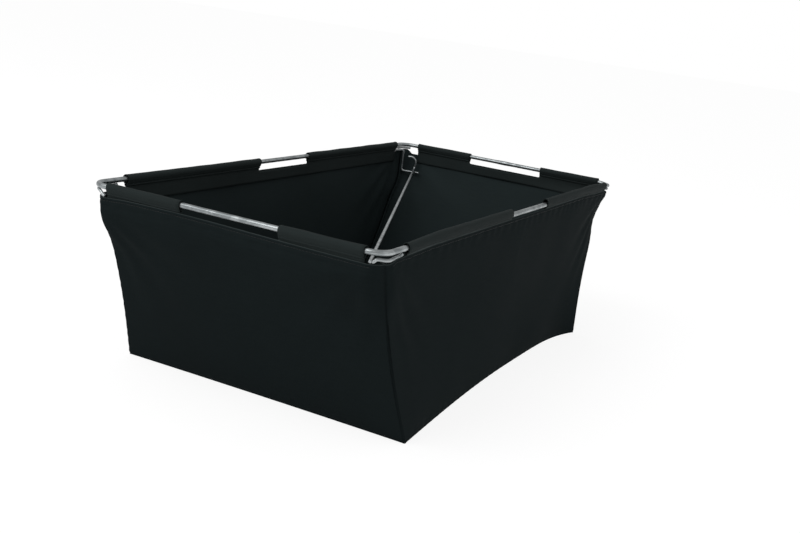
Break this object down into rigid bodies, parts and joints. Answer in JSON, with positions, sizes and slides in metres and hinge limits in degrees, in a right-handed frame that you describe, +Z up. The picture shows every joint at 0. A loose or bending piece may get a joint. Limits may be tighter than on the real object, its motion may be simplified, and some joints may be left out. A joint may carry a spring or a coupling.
{
  "type": "shredder collection box",
  "caption": "Open-topped cloth box with leaning end walls, hung by sleeves in a rectangular steel rod ring, with a diagonal wire brace and hand slots.",
  "frame": {"origin": "on the floor, under the middle of the box", "axes": "+Z up, +Y along the longer side, towards the end wall that is furthest in the picture; the end wall at -Y is the nearest one"},
  "size_m": [0.3784, 0.7488, 0.2239],
  "materials": {
    "ring_steel": "zinc plated drawn rod, satin",
    "wire_steel": "zinc plated drawn wire, brighter than the rod",
    "shell_cloth": "plain weave polyester, coated, matt black",
    "strip_cloth": "coated tape with a faint sheen, black"
  },
  "bodies": {
    "root": {"frame_ring": "ring_steel", "corner_wire_near": "wire_steel", "corner_wire_left": "wire_steel", "corner_wire_right": "wire_steel", "corner_wire_far": "wire_steel", "catch_wire": "wire_steel", "diagonal_brace": "wire_steel", "front_wall": "shell_cloth", "rear_wall": "shell_cloth", "left_wall": "shell_cloth", "right_wall": "shell_cloth", "base_panel": "shell_cloth", "front_sleeve_strip": "strip_cloth", "rear_sleeve_strip": "strip_cloth", "left_sleeve_strip": "strip_cloth", "right_sleeve_strip": "strip_cloth"}
  },
  "joints": []
}
